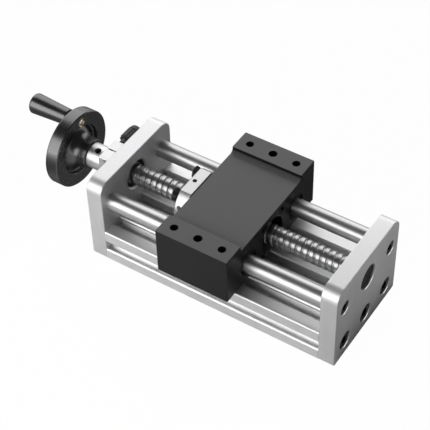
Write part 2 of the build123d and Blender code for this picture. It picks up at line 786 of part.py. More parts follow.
# Carriage block: a table with a ledge along each side
floor_z = axis_height + carriage_bore_diameter / 2 + carriage_roof
sole_z = axis_height - carriage_bore_diameter / 2 - carriage_sole
ledge_z = floor_z + ledge_height
ledge_inner_y = carriage_width / 2 - ledge_width
ledge_hole_y = carriage_width / 2 - ledge_hole_inset
bushing_ring_places = [(-rod_offset, 0), (rod_offset, 0)]
ring_groove_radius = bushing_diameter / 2 + bushing_ring_grip
ring_start_xs = (
    carriage_start_x + bushing_ring_inset,
    carriage_end_x - bushing_ring_inset - bushing_ring_thickness,
)

with BuildPart() as carriage_block:
    with BuildSketch(cross_plane(carriage_start_x)) as carriage_section:
        with Locations((0, (sole_z + ledge_z) / 2)):
            Rectangle(carriage_width, ledge_z - sole_z)
        with Locations((0, ledge_z)):
            Rectangle(2 * ledge_inner_y, 2 * ledge_height, mode=Mode.SUBTRACT)
        fillet(carriage_section.vertices().group_by(Axis.Y)[1], ledge_foot_radius)
    extrude(amount=carriage_length)
    chamfer(carriage_block.faces().filter_by(Axis.X).edges(), edge_break)
    with Locations(axis_plane(carriage_start_x, -1)):
        Hole(carriage_bore_diameter / 2)
        for angle in nut_bolt_angles:
            with PolarLocations(nut_bolt_circle / 2, 1, start_angle=angle):
                Hole(nut_screw_thread / 2 + running_gap)
        with Locations(*bushing_ring_places):
            Hole(bushing_diameter / 2 + running_gap)
    for start_x in ring_start_xs:
        with BuildSketch(axis_plane(start_x - running_gap)):
            with Locations(*bushing_ring_places):
                Circle(ring_groove_radius)
        extrude(amount=bushing_ring_thickness + 2 * running_gap, mode=Mode.SUBTRACT)
    with Locations((carriage_middle_x, 0, ledge_z)):
        with GridLocations(2 * ledge_hole_pitch, 2 * ledge_hole_y, 2, 2):
            Hole(table_thread / 2 + running_gap)
        with GridLocations(1, 2 * ledge_hole_y, 1, 2):
            Hole(table_clearance_hole / 2)
save(carriage_block, "carriage_block")

# Ball nut, with its flange on the handwheel side
nut_end_x = nut_flange_x + nut_length
wiper_radius = screw_diameter / 2 + nut_wiper_wall
oil_hole_x = nut_flange_x + nut_oil_hole_inset
side_hole_direction = (
    0,
    math.cos(math.radians(nut_side_hole_angle)),
    math.sin(math.radians(nut_side_hole_angle)),
)
side_hole_axis = Plane(origin=(oil_hole_x, 0, axis_height), x_dir=(1, 0, 0), z_dir=side_hole_direction)
side_hole_plane = side_hole_axis.offset(nut_flange_diameter / 2 - nut_oil_hole_depth)
with BuildPart() as ball_nut:
    with BuildSketch(axis_plane(nut_flange_x)) as flange_outline:
        Circle(nut_flange_diameter / 2)
        Rectangle(nut_flange_diameter, nut_flange_height, mode=Mode.INTERSECT)
    extrude(amount=nut_flange_thickness)
    chamfer(ball_nut.faces().filter_by(Axis.X).edges(), edge_break)
    with BuildSketch(axis_plane(carriage_start_x)):
        Circle(nut_body_diameter / 2)
    extrude(amount=nut_end_x - carriage_start_x)
    chamfer(ball_nut.edges().filter_by(GeomType.CIRCLE).sort_by(Axis.X)[-1], edge_break)
    with Locations(axis_plane(nut_flange_x, -1)):
        Hole(nut_bore_diameter / 2)
        Hole(wiper_radius, depth=nut_wiper_depth)
        for angle in nut_bolt_angles:
            with PolarLocations(nut_bolt_circle / 2, 1, start_angle=angle):
                Hole(nut_screw_thread * 0.55, depth=nut_flange_thickness)
    with Locations(axis_plane(nut_end_x)):
        Hole(wiper_radius, depth=nut_wiper_depth)
    with Locations((oil_hole_x, 0, axis_height + nut_flange_height / 2)):
        Hole(nut_oil_hole / 2, depth=nut_oil_hole_depth)
    with BuildSketch(side_hole_plane):
        Circle(nut_oil_hole / 2)
    extrude(amount=nut_oil_hole_depth, mode=Mode.SUBTRACT)
save(ball_nut, "ball_nut")

with BuildPart() as nut_wipers:
    for start_x in (nut_flange_x, nut_end_x - nut_wiper_depth):
        with BuildSketch(axis_plane(start_x)):
            Circle(wiper_radius - seat_gap)
            Circle(screw_diameter / 2 + 2 * running_gap, mode=Mode.SUBTRACT)
        extrude(amount=nut_wiper_depth)
save(nut_wipers, "nut_wipers")

nut_screw = cap_screw(nut_screw_thread, nut_screw_length)
with BuildPart() as nut_screws:
    with Locations(axis_plane(nut_flange_x, -1)):
        for angle in nut_bolt_angles:
            with PolarLocations(nut_bolt_circle / 2, 1, start_angle=angle):
                add(nut_screw)
save(nut_screws, "nut_screws")

# Linear bushings, two on each rod, kept in their bores by retaining rings
bushing_seal_radius = bushing_diameter / 2 - bushing_shell_wall
bushing_starts = {
    "drive": carriage_start_x + bushing_inset,
    "far": carriage_end_x - bushing_inset - bushing_length,
}
for rod_side, rod_y in (("front", -rod_offset), ("rear", rod_offset)):
    for end_side, start_x in bushing_starts.items():
        bushing_plane = Plane(origin=(start_x, rod_y, axis_height), x_dir=(0, 1, 0), z_dir=(1, 0, 0))
        with BuildPart() as bushing:
            with BuildSketch(bushing_plane):
                Circle(bushing_diameter / 2)
            extrude(amount=bushing_length)
            chamfer(bushing.edges().filter_by(GeomType.CIRCLE), edge_break)
            with Locations(bushing_plane.offset(bushing_length)):
                Hole(rod_diameter / 2 + running_gap)
                Hole(bushing_seal_radius, depth=bushing_seal_depth)
            with BuildSketch(bushing_plane):
                Circle(bushing_seal_radius)
            extrude(amount=bushing_seal_depth, mode=Mode.SUBTRACT)
        save(bushing, f"{rod_side}_bushing_{end_side}_side")

ring_outer_radius = ring_groove_radius - running_gap
ring_inner_radius = ring_outer_radius - bushing_ring_width
with BuildPart() as bushing_rings:
    for start_x in ring_start_xs:
        with BuildSketch(axis_plane(start_x)):
            with Locations(*bushing_ring_places):
                Circle(ring_outer_radius)
                Circle(ring_inner_radius, mode=Mode.SUBTRACT)
                with Locations((0, ring_outer_radius)):
                    Rectangle(bushing_ring_opening, 2 * ring_outer_radius, mode=Mode.SUBTRACT)
        extrude(amount=bushing_ring_thickness)
save(bushing_rings, "bushing_rings")
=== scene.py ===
import bpy
import json
import math
from mathutils import Matrix, Quaternion, Vector


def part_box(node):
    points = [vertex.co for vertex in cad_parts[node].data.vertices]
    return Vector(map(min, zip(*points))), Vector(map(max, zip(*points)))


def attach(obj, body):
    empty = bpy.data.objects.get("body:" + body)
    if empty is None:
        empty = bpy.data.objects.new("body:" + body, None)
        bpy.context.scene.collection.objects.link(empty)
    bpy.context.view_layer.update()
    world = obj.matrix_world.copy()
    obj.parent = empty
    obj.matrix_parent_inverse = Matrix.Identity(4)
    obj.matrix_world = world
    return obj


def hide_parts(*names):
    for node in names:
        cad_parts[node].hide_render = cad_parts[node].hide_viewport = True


# Hand driven ball screw stage, dressed for its picture.
# X runs along the screw away from the handwheel, Z is up, everything is in metres.
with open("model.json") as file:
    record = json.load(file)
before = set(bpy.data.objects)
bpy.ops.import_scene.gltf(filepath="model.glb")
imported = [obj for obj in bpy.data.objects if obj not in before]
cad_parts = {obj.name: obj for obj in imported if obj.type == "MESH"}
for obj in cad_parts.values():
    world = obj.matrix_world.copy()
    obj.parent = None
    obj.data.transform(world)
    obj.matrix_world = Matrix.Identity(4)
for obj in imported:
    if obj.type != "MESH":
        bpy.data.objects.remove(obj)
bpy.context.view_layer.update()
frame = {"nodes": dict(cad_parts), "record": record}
nodes = frame["nodes"]
mm = 0.001
touch = 0.01 * mm                       # places closer than this are taken as the same
weld = 0.002 * mm                       # points closer than this become one
straight = 0.9                          # a normal with this much along X faces along X
acrossX = (0, math.radians(90), 0)      # turns a cylinder's axis from Z onto X
acrossY = (0, 0, math.radians(90))      # turns a part's axis from Y onto X
print("frame loaded with", len(nodes), "nodes")


# Helpers for modelling as by hand
def startFresh(active=None):
    # back to object mode with nothing selected but the active piece
    if bpy.context.mode != "OBJECT":
        bpy.ops.object.mode_set(mode="OBJECT")
    bpy.ops.object.select_all(action="DESELECT")
    if active:
        active.select_set(True)
        bpy.context.view_layer.objects.active = active


def openMesh(piece, mode, action="DESELECT"):
    # edit mode on one piece, with nothing or everything selected in it
    startFresh(piece)
    bpy.ops.object.mode_set(mode="EDIT")
    bpy.ops.mesh.select_mode(type=mode)
    bpy.ops.mesh.select_all(action=action)


def selectFaces(piece, wanted):
    # picks the faces for which wanted(centre, normal) is true
    openMesh(piece, "FACE")
    bpy.ops.object.mode_set(mode="OBJECT")
    for face in piece.data.polygons:
        face.select = wanted(face.center, face.normal)
    bpy.ops.object.mode_set(mode="EDIT")


def selectEdges(piece, wanted):
    # picks the edges for which wanted(one end, other end) is true
    openMesh(piece, "EDGE")
    bpy.ops.object.mode_set(mode="OBJECT")
    points = piece.data.vertices
    for edge in piece.data.edges:
        edge.select = wanted(points[edge.vertices[0]].co, points[edge.vertices[1]].co)
    bpy.ops.object.mode_set(mode="EDIT")


def breakEdges(piece, wanted, width, segments=2, profile=0.5):
    selectEdges(piece, wanted)
    bpy.ops.mesh.bevel(offset=width, segments=segments, profile=profile)
    bpy.ops.object.mode_set(mode="OBJECT")


def bothAt(place):
    # for edges that lie in the plane across X at this place
    return lambda a, b: abs(a.x - place) + abs(b.x - place) < touch


def nameNew(name):
    piece = bpy.context.object
    piece.name = name
    piece.data.name = name
    return piece


def applyPlace(piece):
    # puts the piece's place, turn and size into its mesh
    startFresh(piece)
    bpy.ops.object.transform_apply(location=True, rotation=True, scale=True)


def applyModifier(piece, kind, **settings):
    startFresh(piece)
    modifier = piece.modifiers.new(kind.lower(), kind)
    for name, value in settings.items():
        setattr(modifier, name, value)
    bpy.ops.object.modifier_apply(modifier=modifier.name)


def cutWith(piece, cutter, operation="DIFFERENCE"):
    applyModifier(piece, "BOOLEAN", object=cutter, operation=operation, solver="EXACT")
    bpy.data.objects.remove(cutter)


def cleanShell(piece, angle=35):
    # closes doubles, turns the faces outwards and shades by angle
    openMesh(piece, "VERT", "SELECT")
    bpy.ops.mesh.remove_doubles(threshold=weld)
    bpy.ops.mesh.normals_make_consistent(inside=False)
    bpy.ops.object.mode_set(mode="OBJECT")
    bpy.ops.object.shade_smooth_by_angle(angle=math.radians(angle))


def joinPieces(pieces, name):
    startFresh()
    for piece in pieces:
        piece.select_set(True)
    bpy.context.view_layer.objects.active = pieces[0]
    if len(pieces) > 1:
        bpy.ops.object.join()
    return nameNew(name)


def placeCopies(model, name, places):
    # one joined piece from a model and the matrices of its places; the model itself goes
    copies = []
    for place in places:
        copy = model.copy()
        copy.data = model.data.copy()
        bpy.context.scene.collection.objects.link(copy)
        copy.matrix_world = place
        copies.append(copy)
    bpy.data.objects.remove(model)
    group = joinPieces(copies, name)
    applyPlace(group)
    return group


def addBar(name, sides, radius, middle, length, height=0.0):
    # a cylinder along X
    startFresh()
    bpy.ops.mesh.primitive_cylinder_add(
        vertices=sides, radius=radius, depth=length, location=(middle, 0, height), rotation=acrossX
    )
    bar = nameNew(name)
    applyPlace(bar)
    return bar


def drawSection(name, centre, section):
    # edges through (along X, radius); centre is a point on the axis, and the piece's origin stands there too
    startFresh()
    before = section[0]
    bpy.ops.mesh.primitive_plane_add(size=mm, location=(before[0], centre[1], centre[2]))
    drawn = nameNew(name)
    openMesh(drawn, "VERT", "SELECT")
    bpy.ops.mesh.merge(type="CENTER")
    bpy.ops.transform.translate(value=(0, 0, before[1]))
    for point in section[1:]:
        bpy.ops.mesh.extrude_vertices_move(
            TRANSFORM_OT_translate={"value": (point[0] - before[0], 0, point[1] - before[1])}
        )
        before = point
    return drawn


def turnSection(name, centre, section, steps=64):
    # a section that closes on itself is spun round its axis
    ring = drawSection(name, centre, [*section, section[0]])
    bpy.ops.mesh.select_all(action="SELECT")
    bpy.ops.mesh.spin(steps=steps, angle=math.tau, center=centre, axis=(1, 0, 0))
    applyPlace(ring)
    cleanShell(ring)
    return ring


def bodyOf(nodeName):
    bodies = frame["record"]["behaviour"]["bodies"]
    return next(bodyName for bodyName, held in bodies.items() if nodeName in held)


def dress(piece, material, body, standsFor=()):
    piece.data.materials.clear()
    piece.data.materials.append(material)
    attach(piece, body)
    if standsFor:
        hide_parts(*standsFor)


def middleOf(low, high):
    # where the axis of a piece that runs along X passes through the plane X = 0
    return (0, (low.y + high.y) / 2, (low.z + high.z) / 2)


# Places read from the frame
axisHeight = sum(corner.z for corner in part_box("far_bearing_inner")) / 2
screwAxis = (0, 0, axisHeight)
gripLow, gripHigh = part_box("handle_grip")
gripAxis = middleOf(gripLow, gripHigh)
knobLow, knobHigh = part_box("lock_knob")
knobAxis = ((knobLow.x + knobHigh.x) / 2, 0, (knobLow.z + knobHigh.z) / 2)
frontRodLow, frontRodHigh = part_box("front_guide_rod")
rodOffset = -(frontRodLow.y + frontRodHigh.y) / 2
frontRodAxis = (0, -rodOffset, axisHeight)
rearRodAxis = (0, rodOffset, axisHeight)


# Helpers for shaders, and the groups that the finishes share
def addNode(tree, kind, values=None, **settings):
    node = tree.nodes.new("ShaderNode" + kind)
    for name, value in settings.items():
        setattr(node, name, value)
    for socket, value in (values or {}).items():
        node.inputs[socket].default_value = value
    return node


def addMath(tree, operation, values=None, **settings):
    return addNode(tree, "Math", values, operation=operation, **settings)


def addFade(tree, start, end, values=None, **settings):
    # goes from 0 to 1, or between the values, where its input goes from start to end
    return addNode(tree, "MapRange", {"From Min": start, "From Max": end, **(values or {})}, **settings)


def wire(tree, *joins):
    # each join is a node, its output, the node that it feeds, and the input there
    for source, output, target, inlet in joins:
        tree.links.new(source.outputs[output], target.inputs[inlet])


def newGroup(name, inputs, outputs):
    # each socket has its name and kind, and an input may have a value of its own
    group = bpy.data.node_groups.new(name, "ShaderNodeTree")
    for socketName, kind, *value in inputs:
        socket = group.interface.new_socket(socketName, in_out="INPUT", socket_type="NodeSocket" + kind)
        if value:
            socket.default_value = value[0]
    for socketName, kind in outputs:
        group.interface.new_socket(socketName, in_out="OUTPUT", socket_type="NodeSocket" + kind)
    return group, group.nodes.new("NodeGroupInput"), group.nodes.new("NodeGroupOutput")


def buildEdgeWearAndHighlight():
    # a mask along sharp edges, broken up by noise, and the rounded normal there; the paler colour it brings
    # is edge wear and also a painted edge highlight
    group, given, result = newGroup(
        "edgeWear",
        [("Vector", "Vector"), ("Radius", "Float"), ("Break", "Float", 900.0)],
        [("Mask", "Float"), ("Normal", "Vector")],
    )
    rounded = addNode(group, "Bevel", samples=6)
    surface = addNode(group, "NewGeometry")
    facing = addNode(group, "VectorMath", operation="DOT_PRODUCT")
    turned = addFade(group, 0.995, 0.86)
    patches = addNode(group, "TexNoise", {"Detail": 4.0, "Roughness": 0.62})
    broken = addFade(group, 0.36, 0.6, {"To Min": 0.25})
    mask = addMath(group, "MULTIPLY", use_clamp=True)
    wire(
        group,
        (given, "Radius", rounded, "Radius"),
        (rounded, "Normal", facing, 0),
        (surface, "Normal", facing, 1),
        (facing, "Value", turned, "Value"),
        (given, "Vector", patches, "Vector"),
        (given, "Break", patches, "Scale"),
        (patches, "Fac", broken, "Value"),
        (turned, "Result", mask, 0),
        (broken, "Result", mask, 1),
        (mask, "Value", result, "Mask"),
        (rounded, "Normal", result, "Normal"),
    )
    return group


def newGrain(name):
    # a group whose pattern is drawn in a space stretched by its own input
    group, given, result = newGroup(
        name, [("Vector", "Vector"), ("Stretch", "Vector")], [("Grain", "Float")]
    )
    drawn = addNode(group, "VectorMath", operation="MULTIPLY")
    wire(group, (given, "Stretch", drawn, 1))
    return group, given, drawn, result


def buildStretchedGrain():
    # fine scratches drawn out along one direction: brushing, or the die lines of an extrusion
    lineShare, bandShare = 0.65, 0.35
    group, given, drawn, result = newGrain("stretchedGrain")
    lines = addNode(group, "TexNoise", {"Scale": 1.0, "Detail": 3.0, "Roughness": 0.7})
    bands = addNode(group, "TexNoise", {"Scale": 0.12, "Detail": 2.0})
    both = addMath(group, "MULTIPLY_ADD", {1: lineShare})
    shifted = addMath(group, "MULTIPLY", {1: bandShare})
    wire(
        group,
        (given, "Vector", drawn, 0),
        (drawn, "Vector", lines, "Vector"),
        (drawn, "Vector", bands, "Vector"),
        (bands, "Fac", shifted, 0),
        (lines, "Fac", both, 0),
        (shifted, "Value", both, 2),
        (both, "Value", result, "Grain"),
    )
    return group


def buildTurnedGrain():
    # tool marks of a lathe: they change with the radius and the place along the axis, which is X
    group, given, drawn, result = newGrain("turnedGrain")
    parts = addNode(group, "SeparateXYZ")
    across = addNode(group, "CombineXYZ")
    radius = addNode(group, "VectorMath", operation="LENGTH")
    turn = addMath(group, "ARCTAN2")
    rings = addNode(group, "CombineXYZ")
    lines = addNode(group, "TexNoise", {"Scale": 1.0, "Detail": 3.0, "Roughness": 0.65})
    wire(
        group,
        (given, "Vector", parts, "Vector"),
        (parts, "Y", across, "Y"),
        (parts, "Z", across, "Z"),
        (across, "Vector", radius, 0),
        (parts, "Z", turn, 0),
        (parts, "Y", turn, 1),
        (parts, "X", rings, "X"),
        (radius, "Value", rings, "Y"),
        (turn, "Value", rings, "Z"),
        (rings, "Vector", drawn, 0),
        (drawn, "Vector", lines, "Vector"),
        (lines, "Fac", result, "Grain"),
    )
    return group


def buildBlastedGrain():
    # an even fine pebble, as from blasting, anodising or a moulded texture
    pebbleShare, speckShare = 0.5, 0.5
    group, given, drawn, result = newGrain("blastedGrain")
    pebble = addNode(group, "TexVoronoi", {"Scale": 1.0, "Randomness": 1.0}, feature="SMOOTH_F1")
    speck = addNode(group, "TexNoise", {"Scale": 2.3, "Detail": 2.0})
    both = addMath(group, "MULTIPLY_ADD", {1: pebbleShare})
    shifted = addMath(group, "MULTIPLY", {1: speckShare})
    wire(
        group,
        (given, "Vector", drawn, 0),
        (drawn, "Vector", pebble, "Vector"),
        (drawn, "Vector", speck, "Vector"),
        (speck, "Fac", shifted, 0),
        (pebble, "Distance", both, 0),
        (shifted, "Value", both, 2),
        (both, "Value", result, "Grain"),
    )
    return group


def buildHandling():
    # broad soft patches where hands, oil and cloths have been
    group, given, result = newGroup(
        "handling", [("Vector", "Vector"), ("Size", "Float")], [("Patches", "Float")]
    )
    clouds = addNode(group, "TexNoise", {"Detail": 5.0, "Roughness": 0.6, "Distortion": 0.4})
    spread = addFade(group, 0.3, 0.7)
    wire(
        group,
        (given, "Vector", clouds, "Vector"),
        (given, "Size", clouds, "Scale"),
        (clouds, "Fac", spread, "Value"),
        (spread, "Result", result, "Patches"),
    )
    return group


def buildPaintedTopLight():
    # a mask of the faces that look up, which get a paler colour as painted light from above
    group, given, result = newGroup("above", [("Start", "Float", 0.6)], [("Mask", "Float")])
    surface = addNode(group, "NewGeometry")
    parts = addNode(group, "SeparateXYZ")
    spread = addNode(group, "MapRange", {"From Max": 0.97})
    wire(
        group,
        (surface, "Normal", parts, "Vector"),
        (parts, "Z", spread, "Value"),
        (given, "Start", spread, "From Min"),
        (spread, "Result", result, "Mask"),
    )
    return group


edgeWear = buildEdgeWearAndHighlight()
above = buildPaintedTopLight()
handling = buildHandling()
grains = {
    "stretched": buildStretchedGrain(),
    "turned": buildTurnedGrain(),
    "blasted": buildBlastedGrain(),
}
print("shader groups ready:", ", ".join(group.name for group in bpy.data.node_groups))

plainLook = {  # what a look leaves out
    "metallic": 1.0, "specular": 0.5, "ior": 1.5, "patchSize": 45.0, "patchShare": 0.4,
    "polish": 0.0, "relief": 0.02 * mm,
}


def mixColours(tree, second, first=(0, 0, 0)):
    # inputs 6 and 7 are the colours of such a node, input 0 their share, and output 2 the mixed colour
    return addNode(tree, "Mix", {6: (*first, 1), 7: (*second, 1)}, data_type="RGBA")


def makeFinish(name, look, centre=(0, 0, 0), turn=(0, 0, 0)):
    # one material from a look; centre and turn bring a part's own axis onto X
    look = {**plainLook, **look}
    material = bpy.data.materials.new(name)
    material.use_nodes = True
    tree = material.node_tree
    shader = tree.nodes["Principled BSDF"]
    shader.inputs["Metallic"].default_value = look["metallic"]
    shader.inputs["Specular IOR Level"].default_value = look["specular"]
    shader.inputs["IOR"].default_value = look["ior"]
    place = addNode(tree, "TexCoord")
    centred = addNode(tree, "Mapping", {"Location": centre, "Rotation": turn}, vector_type="TEXTURE")
    grain = addNode(tree, "Group", node_tree=grains[look["grain"]])
    patches = addNode(tree, "Group", node_tree=handling)
    wear = addNode(tree, "Group", node_tree=edgeWear)
    grain.inputs["Stretch"].default_value = look["stretch"]
    patches.inputs["Size"].default_value = look["patchSize"]
    wear.inputs["Radius"].default_value = look["wearRadius"]
    wire(tree, (place, "Object", centred, "Vector"))
    for user in (grain, patches, wear):
        wire(tree, (centred, "Vector", user, "Vector"))

    # colour: two shades mixed by the grain, paler along the edges, as wear and as a painted edge highlight
    shades = mixColours(tree, look["pale"], look["dark"])
    worn = mixColours(tree, look["worn"])
    blend = addNode(tree, "Mix", {0: look["patchShare"]}, data_type="FLOAT")
    wearing = addMath(tree, "MULTIPLY", {1: look["wear"]})
    wire(
        tree,
        (grain, "Grain", blend, 2),
        (patches, "Patches", blend, 3),
        (blend, 0, shades, 0),
        (wear, "Mask", wearing, 0),
        (wearing, "Value", worn, 0),
        (worn, 2, shader, "Base Color"),
    )
    # faces that look up are painted paler: painted light from above
    if "above" in look:
        paintedLitTop = mixColours(tree, look["above"])
        upward = addNode(tree, "Group", node_tree=above)
        wire(tree, (upward, "Mask", paintedLitTop, 0), (shades, 2, paintedLitTop, 6), (paintedLitTop, 2, worn, 6))
    else:
        wire(tree, (shades, 2, worn, 6))

    # roughness runs between two values by the same mix, and worn edges may be smoother
    low, high = look["roughness"]
    gloss = addFade(tree, 0.25, 0.75, {"To Min": low, "To Max": high})
    polish = addMath(tree, "MULTIPLY_ADD", {1: -look["polish"], 2: 1.0})
    smoothed = addMath(tree, "MULTIPLY")
    wire(
        tree,
        (blend, 0, gloss, "Value"),
        (wear, "Mask", polish, 0),
        (gloss, "Result", smoothed, 0),
        (polish, "Value", smoothed, 1),
        (smoothed, "Value", shader, "Roughness"),
    )

    # the grain is also a shallow relief
    relief = addNode(tree, "Bump", {"Strength": look["bump"], "Distance": look["relief"]})
    wire(
        tree,
        (grain, "Grain", relief, "Height"),
        (wear, "Normal", relief, "Normal"),
        (relief, "Normal", shader, "Normal"),
    )
    return material


# What each finish looks like: two shades, the edges (worn, with a painted highlight), and the size of what
# is seen in them
plateLook = {  # end plates: satin anodised aluminium
    "dark": (0.71, 0.712, 0.718), "pale": (0.91, 0.91, 0.916), "worn": (0.94, 0.94, 0.945),
    "roughness": (0.44, 0.56), "grain": "stretched", "stretch": (1000, 1000, 45),
    "bump": 0.16, "wear": 0.8, "wearRadius": 0.22 * mm, "polish": 0.6, "patchShare": 0.2,
}
cutLook = {  # edges cut after anodising: bare and bright
    "dark": (0.88, 0.88, 0.885), "pale": (0.95, 0.95, 0.955), "worn": (0.97, 0.97, 0.972),
    "roughness": (0.16, 0.22), "grain": "blasted", "stretch": (2600, 2600, 2600),
    "bump": 0.03, "wear": 0.2, "wearRadius": 0.05 * mm,
}
profileLook = {  # base: drawn through a die, so its lines run along X
    "dark": (0.84, 0.842, 0.848), "pale": (0.94, 0.94, 0.945), "worn": (0.96, 0.96, 0.962),
    "roughness": (0.46, 0.56), "grain": "stretched", "stretch": (7, 1300, 1300),
    "bump": 0.2, "wear": 0.7, "wearRadius": 0.3 * mm,
}
clampLook = {  # clamp block: milled aluminium
    "dark": (0.70, 0.70, 0.706), "pale": (0.80, 0.80, 0.806), "worn": (0.90, 0.90, 0.905),
    "roughness": (0.38, 0.48), "grain": "stretched", "stretch": (1800, 1800, 60),
    "bump": 0.25, "wear": 0.8, "wearRadius": 0.3 * mm,
}
carriageLook = {  # carriage: black anodised over a fine blast
    "dark": (0.004, 0.004, 0.0042), "pale": (0.007, 0.007, 0.0073), "worn": (0.06, 0.06, 0.063),
    # the tops are painted paler, as painted light from above
    "above": (0.122, 0.122, 0.124), "metallic": 0.0, "specular": 0.27,
    "roughness": (0.34, 0.44), "grain": "blasted", "stretch": (3000, 3000, 3000),
    "bump": 0.15, "wear": 0.5, "wearRadius": 0.3 * mm, "patchShare": 0.3,
}
chromeLook = {  # guide rods: ground and chromed
    "dark": (0.54, 0.545, 0.55), "pale": (0.62, 0.62, 0.625), "worn": (0.80, 0.80, 0.80),
    "roughness": (0.31, 0.39), "grain": "turned", "stretch": (5000, 800, 1.2),
    "bump": 0.04, "wear": 0.4, "wearRadius": 0.2 * mm,
}
screwLook = {  # ball screw: rolled and polished steel, with a trace of oil
    "dark": (0.38, 0.38, 0.383), "pale": (0.52, 0.52, 0.523), "worn": (0.4, 0.4, 0.4),
    "roughness": (0.26, 0.33), "grain": "turned", "stretch": (2200, 2200, 2.0),
    "bump": 0.12, "wear": 0.5, "wearRadius": 0.12 * mm, "patchSize": 160.0,
}
nutLook = {  # ball nut: ground steel
    "dark": (0.46, 0.46, 0.463), "pale": (0.58, 0.58, 0.584), "worn": (0.8, 0.8, 0.8),
    "roughness": (0.24, 0.38), "grain": "turned", "stretch": (2600, 2600, 1.5),
    "bump": 0.15, "wear": 0.7, "wearRadius": 0.25 * mm,
}
bearingLook = {  # bearing and bushing rings
    "dark": (0.60, 0.60, 0.61), "pale": (0.80, 0.80, 0.81), "worn": (0.92, 0.92, 0.92),
    "roughness": (0.14, 0.26), "grain": "turned", "stretch": (3200, 3200, 1.0),
    "bump": 0.1, "wear": 0.6, "wearRadius": 0.2 * mm,
}
turnedLook = {  # sleeve, washer, spindle and stud: turned bright metal
    "dark": (0.70, 0.70, 0.71), "pale": (0.84, 0.84, 0.85), "worn": (0.93, 0.93, 0.93),
    "roughness": (0.34, 0.44), "grain": "turned", "stretch": (2400, 2400, 0.8),
    "bump": 0.25, "wear": 0.7, "wearRadius": 0.25 * mm,
}
blackScrewLook = {  # black oxide on the screws
    "dark": (0.006, 0.006, 0.0063), "pale": (0.016, 0.016, 0.0165), "worn": (0.16, 0.16, 0.16),
    "metallic": 0.0, "specular": 0.3,
    "roughness": (0.26, 0.38), "grain": "blasted", "stretch": (3000, 3000, 3000),
    "bump": 0.2, "wear": 0.45, "wearRadius": 0.18 * mm,
}
wheelLook = {  # handwheel and grip: gloss black over turned metal
    "dark": (0.004, 0.004, 0.0042), "pale": (0.008, 0.008, 0.0083), "worn": (0.05, 0.05, 0.052),
    "metallic": 0.0, "specular": 1.0, "ior": 1.7,
    "roughness": (0.23, 0.30), "grain": "turned", "stretch": (1300, 1300, 0.6),
    "bump": 0.07, "wear": 0.4, "wearRadius": 0.3 * mm,
}
knobLook = {  # lock knob: moulded plastic
    "dark": (0.030, 0.030, 0.031), "pale": (0.050, 0.050, 0.051), "worn": (0.12, 0.12, 0.12),
    "metallic": 0.0, "specular": 0.45,
    "roughness": (0.40, 0.55), "grain": "blasted", "stretch": (1800, 1800, 1800),
    "bump": 0.35, "wear": 0.4, "wearRadius": 0.25 * mm,
}
sealLook = {  # rubber lips and the dust cap
    "dark": (0.020, 0.020, 0.020), "pale": (0.042, 0.042, 0.042), "worn": (0.09, 0.09, 0.09),
    "metallic": 0.0, "specular": 0.35,
    "roughness": (0.48, 0.66), "grain": "blasted", "stretch": (2400, 2400, 2400),
    "bump": 0.3, "wear": 0.4, "wearRadius": 0.2 * mm,
}
brassLook = {  # insert of the grip
    "dark": (0.86, 0.62, 0.28), "pale": (0.96, 0.76, 0.40), "worn": (0.98, 0.86, 0.60),
    "roughness": (0.18, 0.27), "grain": "turned", "stretch": (3000, 3000, 1.0),
    "bump": 0.15, "wear": 0.6, "wearRadius": 0.2 * mm,
}
finishes = {
    "plate": makeFinish("plateAluminium", plateLook),
    "cut": makeFinish("cutAluminium", cutLook),
    "profile": makeFinish("profileAluminium", profileLook),
    "clamp": makeFinish("clampAluminium", clampLook),
    "carriage": makeFinish("carriageAnodised", carriageLook),
    "frontRod": makeFinish("frontRodChrome", chromeLook, frontRodAxis),
    "rearRod": makeFinish("rearRodChrome", chromeLook, rearRodAxis),
    "screw": makeFinish("ballScrewSteel", screwLook, screwAxis),
    "nut": makeFinish("ballNutSteel", nutLook, screwAxis),
    "bearing": makeFinish("bearingSteel", bearingLook, screwAxis),
    "frontBushing": makeFinish("frontBushingSteel", bearingLook, frontRodAxis),
    "rearBushing": makeFinish("rearBushingSteel", bearingLook, rearRodAxis),
    "sleeve": makeFinish("sleeveTurned", turnedLook, screwAxis),
    "spindle": makeFinish("spindleTurned", turnedLook, gripAxis),
    "stud": makeFinish("studTurned", turnedLook, knobAxis, acrossY),
    "blackScrew": makeFinish("screwBlackOxide", blackScrewLook),
    "wheel": makeFinish("wheelGlossBlack", wheelLook, screwAxis),
    "grip": makeFinish("gripGlossBlack", wheelLook, gripAxis),
    "knob": makeFinish("knobPlastic", knobLook, knobAxis, acrossY),
    "seal": makeFinish("sealRubber", sealLook),
    "brass": makeFinish("insertBrass", brassLook, gripAxis),
}
print("finishes ready:", len(finishes))

nodeFinishes = {  # the other nodes are black screws
    "base_profile": "profile", "drive_end_plate": "plate", "far_end_plate": "plate",
    "lock_block": "clamp", "carriage_block": "carriage",
    "front_guide_rod": "frontRod", "rear_guide_rod": "rearRod",
    "ball_screw": "screw", "ball_nut": "nut",
    "drive_bearing_outer": "bearing", "drive_bearing_inner": "bearing", "drive_bearing_balls": "seal",
    "far_bearing_outer": "bearing", "far_bearing_inner": "bearing", "far_bearing_balls": "seal",
    "front_bushing_drive_side": "frontBushing", "front_bushing_far_side": "frontBushing",
    "rear_bushing_drive_side": "rearBushing", "rear_bushing_far_side": "rearBushing",
    "bearing_retainer": "sleeve", "shaft_sleeve": "sleeve", "wheel_washer": "sleeve",
    "handle_spindle": "spindle", "lock_stud": "stud",
    "handwheel": "wheel", "handle_grip": "grip", "lock_knob": "knob",
    "dust_cap": "seal", "nut_wipers": "seal", "handle_insert": "brass",
}
for nodeName, node in nodes.items():
    node.data.materials.clear()
    node.data.materials.append(finishes[nodeFinishes.get(nodeName, "blackScrew")])
print("nodes dressed:", len(nodes))

